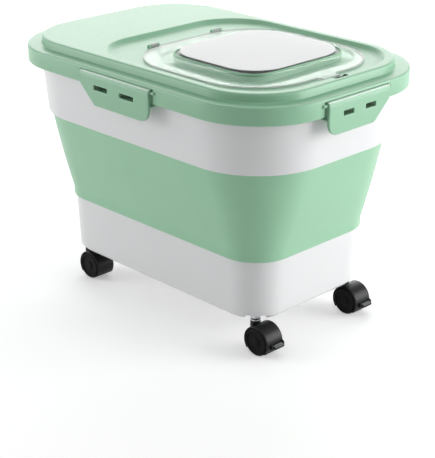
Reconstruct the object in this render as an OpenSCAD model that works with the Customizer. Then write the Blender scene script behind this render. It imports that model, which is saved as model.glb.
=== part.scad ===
// Foldable storage bin on four casters. A clip-on lid has a clear flip cover over its fill opening.
// X runs along the length with the flip cover's opening tab at +X, Y across the width, Z up.
// The origin lies on the floor under the middle of the bin. Millimetres.

/* [Lid] */
// Length of the lid over its skirt
lid_length = 390; // [380:1:400]
// Width of the lid over its skirt
lid_width = 264; // [258:1:270]
// Corner radius of the skirt, seen from above
lid_corner = 80; // [74:1:86]
// Height of the skirt, up to the flat land round the deck
skirt_height = 17.7; // [16:0.1:20]
// Wall thickness of the lid
lid_wall = 2.6; // [2:0.1:3]
// Width of the land between the skirt's face and the raised deck
land_width = 14.5; // [12:0.5:16]
// Height of the raised deck above the land
deck_height = 8.3; // [7:0.1:10]
// Corner radius of the deck, seen from above
deck_corner = 68; // [60:1:74]
// Gap between the skirt's inner face and the rim of the upper ring
skirt_clearance = 3.2; // [2.5:0.1:4]
// Thickness of the locating rib inside the rim
rib_wall = 2; // [1.5:0.1:3]
// Depth of the locating rib under the lid's plate
rib_depth = 7.5; // [5:0.5:9]

/* [Fill opening and flip cover] */
// Length of the fill opening
opening_length = 121; // [116:1:124]
// Width of the fill opening
opening_width = 138; // [130:1:142]
// Corner radius of the fill opening
opening_corner = 24; // [18:1:30]
// Distance of the fill opening's middle from the bin's middle
opening_x = 64.5; // [60:0.5:66]
// Wall thickness of the collar round the opening
collar_wall = 2.5; // [2:0.1:3]
// Height of the collar above the pocket's floor
collar_height = 5.7; // [4.5:0.1:6.5]
// Depth of the pocket that the flip cover lies in
pocket_depth = 4.2; // [3.5:0.1:5]
// Corner radius of the pocket
pocket_corner = 58; // [50:1:60]
// Sideways run of the pocket's sloping wall
pocket_run = 3.5; // [1:0.5:4]
// Free floor of the pocket behind the hinge end of the flip cover
pocket_back = 40; // [36:1:44]
// Free floor of the pocket beyond the tab end of the flip cover
pocket_front = 14; // [12:0.5:15]
// Free floor of the pocket beside the flip cover
pocket_side = 10; // [8:0.5:11]
// Thickness of the flip cover
cover_wall = 2; // [1.6:0.1:2.4]
// Corner radius of the flip cover's flange
cover_corner = 66; // [62:1:68]
// Flange width at the hinge end
flange_back = 27; // [25:0.5:29]
// Flange width at the tab end
flange_front = 15; // [13:0.5:16]
// Flange width at the sides
flange_side = 13; // [11:0.5:14]
// Rise of the dome above the flange
dome_rise = 7.5; // [7:0.1:9]
// Sideways run of the dome's sloping wall
dome_run = 12; // [10:0.5:13]
// Distance from the fill opening's edge to the edge of the dome's flat top
dome_margin = 4; // [3.5:0.1:5]
// Width of the opening tab
tab_width = 27; // [24:1:34]
// Reach of the opening tab beyond the flange
tab_reach = 8; // [6:0.5:9]
// Width of the finger recess in front of the tab
recess_width = 19; // [16:1:22]
// Length of the finger recess
recess_length = 10.5; // [8:0.5:10.5]
// Depth of the finger recess under the pocket's floor
recess_depth = 4.5; // [3:0.1:5]

/* [Flip cover hinge] */
// Radius of the hinge pins
pin_radius = 1.25; // [1:0.05:1.3]
// Radius of the knuckles on the flip cover
knuckle_radius = 2; // [1.9:0.05:2.1]
// Length of one knuckle
knuckle_length = 9; // [7:0.5:11]
// Distance of each knuckle's middle from the bin's middle plane
knuckle_y = 45; // [30:1:45]
// Thickness of one ear on the lid
ear_wall = 2.4; // [2:0.1:3]
// Distance from the flange's edge back to the hinge axis
hinge_setback = 2.5; // [2.4:0.1:3]

/* [Clips] */
// Width of the two clips on the long sides
long_clip_width = 103; // [80:1:110]
// Width of the two clips on the short ends
short_clip_width = 88; // [70:1:92]
// Wall thickness of a clip
clip_wall = 3; // [2.4:0.1:3.2]
// How far a clip's face stands out from the skirt
clip_stand = 4; // [3.8:0.1:4.5]
// Drop of a clip's lower edge under its hinge axis
clip_drop = 29.8; // [26:0.2:32]
// Width of the chamfered lower corner
chamfer_width = 22; // [14:1:26]
// Height of the chamfered lower corner
chamfer_height = 20; // [12:1:22]
// Radius of the other lower corner
clip_corner = 10; // [5:1:12]
// Width of each slot in a long clip
long_slot_width = 19.5; // [15:0.5:24]
// Width of each slot in a short clip
short_slot_width = 14; // [10:0.5:18]
// Height of the slots
slot_height = 4.4; // [4.2:0.1:5]
// Distance of the slots' middle under the hinge axis
slot_drop = 11; // [10:0.5:13]
// Distance of each slot's middle from a long clip's middle
long_slot_offset = 19.5; // [17:0.5:24]
// Distance of each slot's middle from a short clip's middle
short_slot_offset = 16; // [14:0.5:20]
// Radius of the rod that a clip turns on
rod_radius = 1.5; // [1.2:0.1:1.8]
// Gap between a clip's inner face and the lugs of the upper ring
lug_gap = 3.5; // [3:0.1:4]
// Free width at each end of a clip, in the notch of the skirt
notch_gap = 3; // [2:0.5:4]

/* [Upper ring] */
// Height of the upper ring with its rim
ring_height = 66; // [60:1:72]
// Wall thickness of the upper ring
ring_wall = 2.8; // [2.2:0.1:3.2]
// Corner radius of the ring at its lower edge
ring_corner = 78; // [70:1:84]
// How much the ring widens on each side from its lower edge to its rim
ring_draw = 5.7; // [4:0.1:7]
// Reach of the rim beyond the ring's wall
rim_reach = 2.9; // [2:0.1:3.2]
// Height of the rim
rim_height = 3.5; // [3:0.1:4]
// Height of the lid seal
seal_height = 3.5; // [3:0.1:4]
// Width of the lid seal
seal_width = 6; // [4:0.5:7]

/* [Folding band] */
// Height of the folding band between ring and tub
band_height = 99; // [90:1:108]
// Wall thickness of the band
band_wall = 2.4; // [2:0.1:2.8]
// How far the tub's upper edge lies inside the ring's lower edge, on each side
band_inset = 29.3; // [26:0.1:32]
// Height of the band's lip round the top of the tub
lip_height = 8; // [6:0.5:10]
// Height of the band's collar inside the ring
band_collar = 10; // [6:0.5:14]

/* [Base tub] */
// Gap between the floor and the tub's foot rim
ground_gap = 36.5; // [36:0.1:40]
// Height of the tub from its foot rim to the band's lip
base_height = 64.5; // [58:0.5:70]
// Wall thickness of the tub
base_wall = 2.5; // [2:0.1:3]
// Corner radius of the tub at its foot
base_corner = 37; // [34:1:40]
// How much the tub widens on each side from its foot to its top
base_draw = 2.8; // [2:0.1:4]
// Size of the bevel along the foot
foot_bevel = 4; // [2:0.5:4.4]
// Height of the foot rim under the tub's floor
foot_height = 4.5; // [4:0.1:5.5]
// Width of the notch in the foot rim at each corner
foot_notch = 22; // [18:1:26]

/* [Casters] */
// Distance of each caster's stem from the tub's sides at the foot
caster_inset = 17.4; // [16:0.1:19]
// Radius of the wheels
wheel_radius = 15; // [14.5:0.1:15.5]
// Width of one wheel
wheel_width = 7; // [6:0.1:8]
// Half width of the web between the two wheels
web_half = 4.5; // [4.2:0.1:5]
// Distance of the axle behind the stem
caster_trail = 11; // [10:0.1:11.5]
// Wall thickness of the hood over the wheels
hood_wall = 1; // [0.8:0.1:1.2]
// Radius of the stem in the hood and in the tub's socket
stem_radius = 3.5; // [3:0.1:3.8]
// Radius of the sleeve and washer on the stem
sleeve_radius = 5.2; // [4.6:0.1:5.8]
// Radius of the neck round the stem
neck_radius = 5.3; // [4.8:0.1:6]
// Distance of the neck's top under the tub's foot rim
neck_drop = 3.9; // [3.5:0.1:4.2]
// Wall thickness of the tub's socket for a stem
socket_wall = 3; // [2:0.1:3]
// Depth of the socket above the tub's underside
socket_depth = 11.5; // [8:0.5:14]
// Radius of the axle
axle_radius = 2; // [1.6:0.1:2.4]
// Width of the brake pedal
pedal_width = 13; // [10:0.5:13]
// Reach of the brake pedal from its pivot
pedal_reach = 4; // [3:0.1:5]
// Radius of the brake pedal's trunnions
trunnion_radius = 1; // [0.8:0.05:1.1]

/* [Fits] */
// Gap between pieces that part or turn
clearance = 0.3; // [0.25:0.05:0.4]
// Radial gap of a pin or shaft in its bore
running_fit = 0.05; // [0.02:0.01:0.1]

/* [Hidden] */
$fn = 96;

mint = [0.56, 0.74, 0.62];
mint_band = [0.55, 0.73, 0.61];
white = [0.93, 0.93, 0.93];
clear = [0.9, 0.95, 0.93, 0.45];
silicone = [0.88, 0.9, 0.88];
steel = [0.72, 0.73, 0.75];
black = [0.08, 0.08, 0.08];

// Cuts run past a face by this much
past = 1;

// Heights, from the floor up
base_top = ground_gap + base_height;
ring_z = base_top + band_height;
rim_z = ring_z + ring_height;
plate_z = rim_z + clearance + seal_height;
land_z = plate_z + lid_wall;
skirt_z = land_z - skirt_height;
deck_z = land_z + deck_height;
pocket_z = deck_z - pocket_depth;
pocket_under = pocket_z - lid_wall;
flange_z = pocket_z + clearance;
dome_z = flange_z + cover_wall;
dome_top = dome_z + dome_rise;
collar_z = pocket_z + collar_height;
floor_z = ground_gap + foot_height;

// Outlines as [length, width, corner radius]
function grown(outline, by) = [outline.x + 2 * by, outline.y + 2 * by, outline.z + by];

skirt = [lid_length, lid_width, lid_corner];
skirt_inner = grown(skirt, -lid_wall);
deck = [lid_length - 2 * land_width, lid_width - 2 * land_width, deck_corner];
ring_low = [lid_length - 2 * (lid_wall + skirt_clearance + rim_reach + ring_draw),
            lid_width - 2 * (lid_wall + skirt_clearance + rim_reach + ring_draw), ring_corner];
ring_top = grown(ring_low, ring_draw);
rim = grown(ring_top, rim_reach);
base_rim = [ring_low.x - 2 * band_inset, ring_low.y - 2 * band_inset, base_corner + base_draw];
base_foot = grown(base_rim, -base_draw);
lip = grown(base_rim, band_wall);
opening = [opening_length, opening_width, opening_corner];
dome_flat = grown(opening, dome_margin);
dome_foot = grown(dome_flat, dome_run);
flange = [dome_foot.x + flange_back + flange_front, dome_foot.y + 2 * flange_side, cover_corner];
flange_x = opening_x + (flange_front - flange_back) / 2;
pocket = [flange.x + pocket_back + pocket_front, flange.y + 2 * pocket_side, pocket_corner];
pocket_x = flange_x + (pocket_front - pocket_back) / 2;
hinge_x = flange_x - flange.x / 2 - hinge_setback;
hinge_z = pocket_z + knuckle_radius + 0.1;
tab_end = flange_x + flange.x / 2 + tab_reach;

// Clip hinge: its axis lies this far outside the skirt and below the lid's plate
barrel_radius = clip_stand - 0.4;
pivot_out = clip_stand - barrel_radius;
pivot_z = plate_z - clearance - 0.1 - barrel_radius;
slot_z = pivot_z - slot_drop;
lug_height = slot_height - 2 * clearance;

// Casters: places in the caster's own frame, with the stem on the Z axis
stem_x = base_foot.x / 2 - caster_inset;
stem_y = base_foot.y / 2 - caster_inset;
hood_inner = wheel_radius + clearance + 0.1;
hood_outer = hood_inner + hood_wall;
hood_half = web_half + clearance + wheel_width - 0.4;
hood_low = wheel_radius / 3;
neck_top = ground_gap - neck_drop;
stem_low = wheel_radius + 1;
trunnion_x = caster_trail + hood_inner + 1.8;
trunnion_z = wheel_radius - 1.5;
pedal_y = 2.5;
ear_width = 1.9;

// Flat outline with round corners
module rounded(outline) {
    square([outline.x - 2 * outline.z, outline.y], center = true);
    square([outline.x, outline.y - 2 * outline.z], center = true);
    for (sx = [-1, 1], sy = [-1, 1])
        translate([sx * (outline.x / 2 - outline.z), sy * (outline.y / 2 - outline.z)])
            circle(r = outline.z);
}

// Upright block on an outline, between two heights
module block(outline, z_low, z_high) {
    translate([0, 0, z_low])
        linear_extrude(height = z_high - z_low)
            rounded(outline);
}

// Block that widens by draw on each side from its lower to its upper face
module drawn_block(outline, z_low, z_high, draw) {
    half_x = outline.x / 2;
    half_y = outline.y / 2;
    rise = z_high - z_low;
    translate([0, 0, z_low]) {
        for (sx = [-1, 1], sy = [-1, 1])
            translate([sx * (half_x - outline.z), sy * (half_y - outline.z), 0])
                cylinder(h = rise, r1 = outline.z, r2 = outline.z + draw);
        rotate([90, 0, 90])
            linear_extrude(height = 2 * (half_x - outline.z), center = true)
                polygon([[-half_y, 0], [half_y, 0], [half_y + draw, rise], [-half_y - draw, rise]]);
        rotate([90, 0, 0])
            linear_extrude(height = 2 * (half_y - outline.z), center = true)
                polygon([[-half_x, 0], [half_x, 0], [half_x + draw, rise], [-half_x - draw, rise]]);
    }
}

// Cylinder along X or along Y, centred on the origin
module along_x(radius, length) {
    rotate([0, 90, 0])
        cylinder(h = length, r = radius, center = true);
}

module along_y(radius, length) {
    rotate([90, 0, 0])
        cylinder(h = length, r = radius, center = true);
}

module at_corners() {
    for (sx = [-1, 1], sy = [-1, 1])
        translate([sx * stem_x, sy * stem_y, 0])
            children();
}

module base_tub() {
    bevelled = grown(base_foot, -foot_bevel);
    inside = grown(base_foot, -base_wall);
    slope = base_draw / base_height;
    color(white)
        difference() {
            union() {
                difference() {
                    union() {
                        drawn_block(bevelled, ground_gap, ground_gap + foot_bevel,
                                    foot_bevel + slope * foot_bevel);
                        drawn_block(grown(base_foot, slope * foot_bevel), ground_gap + foot_bevel,
                                    base_top, base_draw - slope * foot_bevel);
                        block(base_rim, base_top, base_top + lip_height - clearance);
                    }
                    drawn_block(grown(inside, slope * foot_height), floor_z + base_wall,
                                base_top + lip_height, base_draw);
                }
                at_corners()
                    translate([0, 0, floor_z])
                        cylinder(h = socket_depth + socket_wall, r = stem_radius + socket_wall);
            }
            block(grown(bevelled, -base_wall), ground_gap - past, floor_z);
            at_corners()
                translate([0, 0, floor_z - past])
                    cylinder(h = socket_depth + past, r = stem_radius + running_fit);
            for (sx = [-1, 1], sy = [-1, 1])
                translate([sx * (base_foot.x / 2 - base_corner), sy * (base_foot.y / 2 - base_corner), 0])
                    rotate(atan2(sy, sx))
                        translate([base_corner / 2, -foot_notch / 2, ground_gap - past])
                            cube([base_corner, foot_notch, foot_height + past]);
        }
}

// One hull between the flat outlines at the band's two ends
module band_hull(outline_low, outline_high) {
    slice = 0.1;
    hull() {
        block(outline_low, base_top + lip_height - slice, base_top + lip_height);
        block(outline_high, ring_z - slice, ring_z);
    }
}

module fold_band() {
    collar = grown(ring_low, -ring_wall - clearance - 0.1);
    color(mint_band)
        difference() {
            union() {
                block(lip, base_top, base_top + lip_height);
                band_hull(lip, collar, $fn = 64);
                block(collar, ring_z, ring_z + band_collar);
            }
            block(grown(base_rim, 0.1), base_top - past, base_top + lip_height);
            band_hull(grown(lip, -band_wall), grown(collar, -band_wall), $fn = 64);
            block(grown(collar, -band_wall), ring_z - 0.1, ring_z + band_collar + past);
        }
}

// Two lugs on the wall of the upper ring, behind the slots of one clip
module lugs(face, wall, slot_width, slot_offset) {
    lug_end = face + clip_stand - clip_wall - lug_gap;
    for (side = [-1, 1])
        translate([side * slot_offset - slot_width / 2 + clearance, -lug_end, slot_z - lug_height / 2])
            cube([slot_width - 2 * clearance, lug_end - wall + ring_wall / 2, lug_height]);
}

module upper_ring() {
    lug_slope = ring_draw * (slot_z - ring_z) / (ring_height - rim_height);
    color(white)
        difference() {
            union() {
                drawn_block(ring_low, ring_z, rim_z - rim_height, ring_draw);
                block(rim, rim_z - rim_height, rim_z);
                for (turn = [0, 180])
                    rotate(turn)
                        lugs(lid_width / 2, ring_low.y / 2 + lug_slope, long_slot_width, long_slot_offset);
                for (turn = [90, 270])
                    rotate(turn)
                        lugs(lid_length / 2, ring_low.x / 2 + lug_slope, short_slot_width,
                             short_slot_offset);
            }
            drawn_block(grown(ring_low, -ring_wall), ring_z, rim_z - rim_height, ring_draw);
            block(grown(ring_low, -ring_wall), ring_z - past, ring_z);
            block(grown(ring_top, -ring_wall), rim_z - rim_height, rim_z + past);
        }
}

// Notch in the skirt for one clip, cut from the side at -Y
module clip_notch(face, width) {
    translate([-width / 2 - notch_gap, -face - past, skirt_z - past])
        cube([width + 2 * notch_gap, lid_wall + 2 * past, plate_z - skirt_z + past]);
}

// Rod for one clip with a boss at each end of its notch
module clip_rod(face, width) {
    boss_length = 3;
    half = width / 2 + clearance;
    translate([0, -face - pivot_out, pivot_z]) {
        along_x(rod_radius, 2 * half + 2 * notch_gap);
        for (side = [-1, 1])
            translate([side * (half + notch_gap / 2 + boss_length / 2), 0, 0])
                along_x(rod_radius + 1, notch_gap + boss_length);
    }
}

module hinge_ears() {
    for (y = [-knuckle_y, knuckle_y], side = [-1, 1])
        translate([hinge_x, y + side * (knuckle_length / 2 + clearance + ear_wall / 2), hinge_z]) {
            along_y(knuckle_radius, ear_wall);
            translate([-knuckle_radius, -ear_wall / 2, pocket_z - hinge_z - lid_wall / 2])
                cube([2 * knuckle_radius, ear_wall, hinge_z - pocket_z + lid_wall / 2]);
        }
}

module lid_shell() {
    recess_x = tab_end + clearance;
    color(mint)
        difference() {
            union() {
                difference() {
                    union() {
                        block(skirt, skirt_z, land_z);
                        block(deck, land_z - past, deck_z);
                    }
                    block(skirt_inner, skirt_z - past, plate_z);
                    block(grown(deck, -lid_wall), plate_z - past, deck_z - lid_wall);
                }
                translate([pocket_x, 0, 0])
                    block(grown(pocket, lid_wall), pocket_under, deck_z - lid_wall / 2);
                translate([recess_x - lid_wall, -recess_width / 2 - lid_wall,
                           pocket_z - recess_depth - lid_wall])
                    cube([recess_length + 2 * lid_wall, recess_width + 2 * lid_wall,
                          recess_depth + lid_wall]);
                difference() {
                    block(grown(ring_top, -ring_wall - clearance - 1), plate_z - rib_depth, plate_z + 0.5);
                    block(grown(ring_top, -ring_wall - clearance - 1 - rib_wall),
                          plate_z - rib_depth - past, plate_z + past);
                }
            }
            difference() {
                translate([pocket_x, 0, 0]) {
                    drawn_block(grown(pocket, -pocket_run), pocket_z, deck_z, pocket_run);
                    block(pocket, deck_z, deck_z + past);
                }
                translate([opening_x, 0, 0])
                    block(grown(opening, collar_wall), pocket_z - past, collar_z);
                hinge_ears();
            }
            translate([opening_x, 0, 0])
                block(opening, pocket_under - past, collar_z + past);
            translate([recess_x, -recess_width / 2, pocket_z - recess_depth])
                cube([recess_length, recess_width, recess_depth + pocket_depth + past]);
            for (y = [-knuckle_y, knuckle_y])
                translate([hinge_x, y, hinge_z])
                    along_y(pin_radius + running_fit, knuckle_length + 2 * (clearance + ear_wall) + past);
            for (turn = [0, 180])
                rotate(turn)
                    clip_notch(lid_width / 2, long_clip_width);
            for (turn = [90, 270])
                rotate(turn)
                    clip_notch(lid_length / 2, short_clip_width);
        }
    color(mint) {
        for (turn = [0, 180])
            rotate(turn)
                clip_rod(lid_width / 2, long_clip_width);
        for (turn = [90, 270])
            rotate(turn)
                clip_rod(lid_length / 2, short_clip_width);
        translate([opening_x, 0, 0])
            difference() {
                block(grown(opening, collar_wall), pocket_under, collar_z);
                block(opening, pocket_under - past, collar_z + past);
            }
    }
}

module lid_seal() {
    outer = grown(rim, -0.5);
    color(silicone)
        difference() {
            block(outer, rim_z + clearance, plate_z);
            block(grown(outer, -seal_width), rim_z, plate_z + past);
        }
}

module hinge_pins() {
    color(steel)
        for (y = [-knuckle_y, knuckle_y])
            translate([hinge_x, y, hinge_z])
                along_y(pin_radius, knuckle_length + 2 * (clearance + ear_wall));
}

module flip_cover() {
    side_wall = 1;
    arm_overlap = 6;
    color(clear)
        difference() {
            union() {
                translate([flange_x, 0, 0])
                    block(flange, flange_z, dome_z);
                translate([opening_x, 0, 0])
                    drawn_block(dome_foot, dome_z, dome_top, -dome_run);
                translate([tab_end - tab_reach - past, -tab_width / 2, flange_z])
                    cube([tab_reach + past, tab_width, cover_wall]);
                for (y = [-knuckle_y, knuckle_y])
                    translate([hinge_x, y, hinge_z]) {
                        along_y(knuckle_radius, knuckle_length);
                        translate([0, -knuckle_length / 2, flange_z - hinge_z])
                            cube([hinge_setback + arm_overlap, knuckle_length, cover_wall]);
                    }
            }
            translate([opening_x, 0, 0])
                drawn_block(grown(dome_foot, -side_wall), flange_z, dome_top - cover_wall, -dome_run);
            translate([opening_x, 0, 0])
                block(grown(dome_foot, -side_wall), flange_z - past, flange_z);
            for (y = [-knuckle_y, knuckle_y])
                translate([hinge_x, y, hinge_z])
                    along_y(pin_radius + running_fit, knuckle_length + past);
        }
}

module cover_seal() {
    outer = grown(opening, collar_wall + 0.3);
    color(silicone)
        translate([opening_x, 0, 0])
            difference() {
                block(outer, collar_z + clearance, dome_top - cover_wall);
                block(grown(outer, -collar_wall - 1.5), collar_z, dome_top);
            }
}

// Outline of a clip's plate, with the hinge axis at the height 0 and the chamfer at -X
module clip_outline(width) {
    arc = [for (a = [0 : 15 : 90])
           [width / 2 - clip_corner + clip_corner * sin(a), -clip_drop + clip_corner * (1 - cos(a))]];
    polygon(concat([[-width / 2, 0], [-width / 2, -clip_drop + chamfer_height],
                    [-width / 2 + chamfer_width, -clip_drop]], arc, [[width / 2, 0]]));
}

// Clip for the side at -Y
module clip(face, width, slot_width, slot_offset) {
    color(mint)
        translate([0, -face - pivot_out, pivot_z])
            difference() {
                union() {
                    translate([0, -barrel_radius + clip_wall, 0])
                        rotate([90, 0, 0])
                            linear_extrude(height = clip_wall)
                                clip_outline(width);
                    along_x(barrel_radius, width);
                }
                along_x(rod_radius + running_fit, width + past);
                for (side = [-1, 1])
                    translate([side * slot_offset, 0, -slot_drop])
                        cube([slot_width, 4 * barrel_radius, slot_height], center = true);
            }
}

module clip_right() clip(lid_width / 2, long_clip_width, long_slot_width, long_slot_offset);

module clip_left() mirror([0, 1, 0]) clip_right();

module clip_front()
    rotate(90)
        mirror([1, 0, 0])
            clip(lid_length / 2, short_clip_width, short_slot_width, short_slot_offset);

module clip_rear() mirror([1, 0, 0]) clip_front();

// Puts a caster's piece at the corner on the side sx along X and sy along Y
module caster_at(sx, sy) {
    translate([sx * stem_x, sy * stem_y, 0])
        children();
}

module stem() {
    washer_height = 1.6;
    color(steel) {
        translate([0, 0, stem_low])
            cylinder(h = floor_z + socket_depth - 0.5 - stem_low, r = stem_radius);
        translate([0, 0, neck_top + clearance])
            cylinder(h = washer_height, r = sleeve_radius);
        translate([0, 0, neck_top + clearance + washer_height + 0.8])
            cylinder(h = floor_z - neck_top - clearance - washer_height - 0.8, r = sleeve_radius);
    }
}

// Hood with the web between the wheels, the neck for the stem and, if braked, ears for the pedal
module hood(braked) {
    pedal_gap = pedal_width + 2 * clearance;
    ear_x = caster_trail + wheel_radius - hood_wall;
    ear_reach = 3;
    color(black)
        difference() {
            union() {
                translate([caster_trail, 0, wheel_radius])
                    along_y(hood_outer, 2 * hood_half);
                translate([0, 0, stem_low - 2])
                    cylinder(h = neck_top - stem_low + 2, r = neck_radius);
                if (braked)
                    for (side = [-1, 1])
                        translate([ear_x, pedal_y + side * (pedal_gap + ear_width) / 2 - ear_width / 2,
                                   trunnion_z - ear_reach])
                            cube([trunnion_x + trunnion_radius + 1 - ear_x, ear_width, 2 * ear_reach]);
            }
            for (side = [-1, 1])
                translate([caster_trail, side * (web_half + wheel_width), wheel_radius])
                    along_y(hood_inner, 2 * wheel_width);
            translate([-2 * hood_outer, -hood_outer, hood_low - 2 * hood_outer])
                cube([6 * hood_outer, 2 * hood_outer, 2 * hood_outer]);
            translate([0, 0, stem_low - clearance])
                cylinder(h = neck_top, r = stem_radius + running_fit);
            translate([caster_trail, 0, wheel_radius])
                along_y(axle_radius, 4 * hood_half);
            if (braked) {
                translate([trunnion_x, 0, trunnion_z])
                    along_y(trunnion_radius + running_fit, 4 * hood_half);
                translate([caster_trail + wheel_radius + clearance, pedal_y - pedal_gap / 2, hood_low])
                    cube([hood_outer, pedal_gap, wheel_radius]);
            }
        }
}

module axle() {
    color(steel)
        translate([caster_trail, 0, wheel_radius])
            along_y(axle_radius, 2 * (web_half + wheel_width));
}

// Two wheels with a shallow dish in each outer face
module wheels() {
    dish_depth = 1;
    color(black)
        for (side = [-1, 1])
            translate([caster_trail, side * (web_half + clearance + wheel_width / 2), wheel_radius])
                difference() {
                    along_y(wheel_radius, wheel_width);
                    along_y(axle_radius + running_fit, wheel_width + past);
                    translate([0, side * wheel_width / 2, 0])
                        difference() {
                            along_y(wheel_radius * 0.75, 2 * dish_depth);
                            along_y(axle_radius + 2, 3 * dish_depth);
                        }
                }
}

// Brake pedal on two trunnions, with three ribs on its tread
module pedal() {
    hub = 1.5;
    color(black)
        translate([trunnion_x, pedal_y, trunnion_z]) {
            along_y(trunnion_radius, pedal_width + 2 * ear_width);
            along_y(hub, pedal_width);
            rotate([90, 0, 0])
                linear_extrude(height = pedal_width, center = true)
                    polygon([[-hub, 0], [0, hub], [pedal_reach, -hub / 2], [pedal_reach, -2 * hub], [0, -hub]]);
            for (i = [1 : 3])
                translate([i * pedal_reach / 4, 0, hub - i * 0.56 * hub])
                    cube([0.6, pedal_width, 2 * hub], center = true);
        }
}

base_tub();
fold_band();
upper_ring();
lid_shell();
lid_seal();
hinge_pins();
flip_cover();
cover_seal();
clip_right();
clip_left();
clip_front();
clip_rear();
caster_at(1, -1) stem();  // stem_front_right
caster_at(1, 1) stem();  // stem_front_left
caster_at(-1, -1) stem();  // stem_rear_right
caster_at(-1, 1) stem();  // stem_rear_left
caster_at(1, -1) hood(true);  // hood_front_right
caster_at(1, 1) hood(true);  // hood_front_left
caster_at(-1, -1) hood(false);  // hood_rear_right
caster_at(-1, 1) hood(false);  // hood_rear_left
caster_at(1, -1) axle();  // axle_front_right
caster_at(1, 1) axle();  // axle_front_left
caster_at(-1, -1) axle();  // axle_rear_right
caster_at(-1, 1) axle();  // axle_rear_left
caster_at(1, -1) wheels();  // wheels_front_right
caster_at(1, 1) wheels();  // wheels_front_left
caster_at(-1, -1) wheels();  // wheels_rear_right
caster_at(-1, 1) wheels();  // wheels_rear_left
caster_at(1, -1) pedal();  // pedal_front_right
caster_at(1, 1) pedal();  // pedal_front_left
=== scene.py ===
# %% [markdown]
# # A folding rice bin with a flip lid
# The bin is a white tub, a soft green band that folds, a white upper ring and a clip-on green lid.
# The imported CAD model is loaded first. Every mesh made here sits in its frame, in metres.
# All sizes below are written in millimetres, as a toolmaker would, and MM turns them to metres.

# %% Load the frame
import math
import bmesh
import bpy
from mathutils import Matrix, Vector


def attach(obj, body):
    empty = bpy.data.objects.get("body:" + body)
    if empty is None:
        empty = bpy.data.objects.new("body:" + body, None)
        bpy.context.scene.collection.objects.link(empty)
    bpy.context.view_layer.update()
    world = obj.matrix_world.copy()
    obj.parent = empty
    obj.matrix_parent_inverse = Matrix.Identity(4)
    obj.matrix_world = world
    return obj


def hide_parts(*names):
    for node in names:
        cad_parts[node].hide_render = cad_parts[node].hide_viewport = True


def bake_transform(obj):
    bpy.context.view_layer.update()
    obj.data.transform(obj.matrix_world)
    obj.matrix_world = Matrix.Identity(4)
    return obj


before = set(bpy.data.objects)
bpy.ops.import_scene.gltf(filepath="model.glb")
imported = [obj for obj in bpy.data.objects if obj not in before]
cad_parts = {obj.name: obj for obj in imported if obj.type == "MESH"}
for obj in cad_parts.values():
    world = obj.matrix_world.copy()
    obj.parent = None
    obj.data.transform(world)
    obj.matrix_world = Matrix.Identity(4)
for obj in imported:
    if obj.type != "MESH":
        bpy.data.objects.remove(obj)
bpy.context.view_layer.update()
MM = 0.001

# %% [markdown]
# ## Colours
# Paint and plastic colours are picked on a screen as sRGB hex values, but Blender's shaders work in
# linear light. One function does the conversion, so each colour below can be read off a swatch.

# %% Hex to linear
def linear(hex_colour):
    """(r, g, b, 1) in linear light from an sRGB hex value such as "9cc4ab"."""
    channels = [int(hex_colour[i:i + 2], 16) / 255 for i in (0, 2, 4)]
    return (*[c / 12.92 if c <= 0.04045 else ((c + 0.055) / 1.055) ** 2.4 for c in channels], 1.0)


MINT = "93c5a3"
print("mint in linear light", [round(c, 3) for c in linear(MINT)])

# %% [markdown]
# ## A helper for node materials
# A material is a small graph. Adding a node, setting its sockets and joining it to others is the
# same three steps each time, so one function does them. A setting whose name is a number or an
# input's name goes to that socket, and any other goes to the node itself.

# %% Add one node
def add(tree, kind, settings=None, links=None):
    """A node of that kind, with its settings, and links from other nodes' outputs to its inputs."""
    made = tree.nodes.new(kind)
    for name, value in (settings or {}).items():
        if isinstance(name, int) or name in made.inputs:
            made.inputs[name].default_value = value
        else:
            setattr(made, name, value)
    for name, (source, output) in (links or {}).items():
        tree.links.new(source.outputs[output], made.inputs[name])
    return made


def new_material(name):
    """An empty node material and its Principled shader."""
    material = bpy.data.materials.new(name)
    material.use_nodes = True
    return material, material.node_tree, material.node_tree.nodes["Principled BSDF"]


# %% [markdown]
# ## What the finishes share
# Every finish ends the same way: its colour, roughness and bump go to one Principled shader. Hard
# plastics are also paler at their edges, from wear, and for some finishes from a painted highlight.
# The Bevel node gives the normal that a slightly rounded edge would have, and where that differs
# from the face's own normal there is an edge.

# %% Shared parts of a finish
def finish(tree, shader, colour, roughness, bump):
    """Joins a finish's colour, roughness and bump to its shader."""
    tree.links.new(colour.outputs[2], shader.inputs["Base Color"])
    tree.links.new(roughness.outputs[0], shader.inputs["Roughness"])
    tree.links.new(bump.outputs[0], shader.inputs["Normal"])


def edge_wear_and_highlight(tree, radius, faint, strong):
    """0 on the faces and 1 on the edges, between two limits of how alike the two normals are."""
    worn = add(tree, "ShaderNodeBevel", {"samples": 6, "Radius": radius})
    face = add(tree, "ShaderNodeNewGeometry")
    likeness = add(tree, "ShaderNodeVectorMath", {"operation": "DOT_PRODUCT"},
                   {0: (worn, "Normal"), 1: (face, "Normal")})
    return add(tree, "ShaderNodeMapRange", {1: faint, 2: strong, 3: 0.0, 4: 1.0}, {0: (likeness, "Value")})


def band_scale(spacing):
    """The scale at which the bands of a wave texture lie that far apart."""
    return 1 / spacing / 20 * math.pi * 2


print("bands 9 mm apart need a scale of", round(band_scale(9 * MM), 1))
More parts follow.
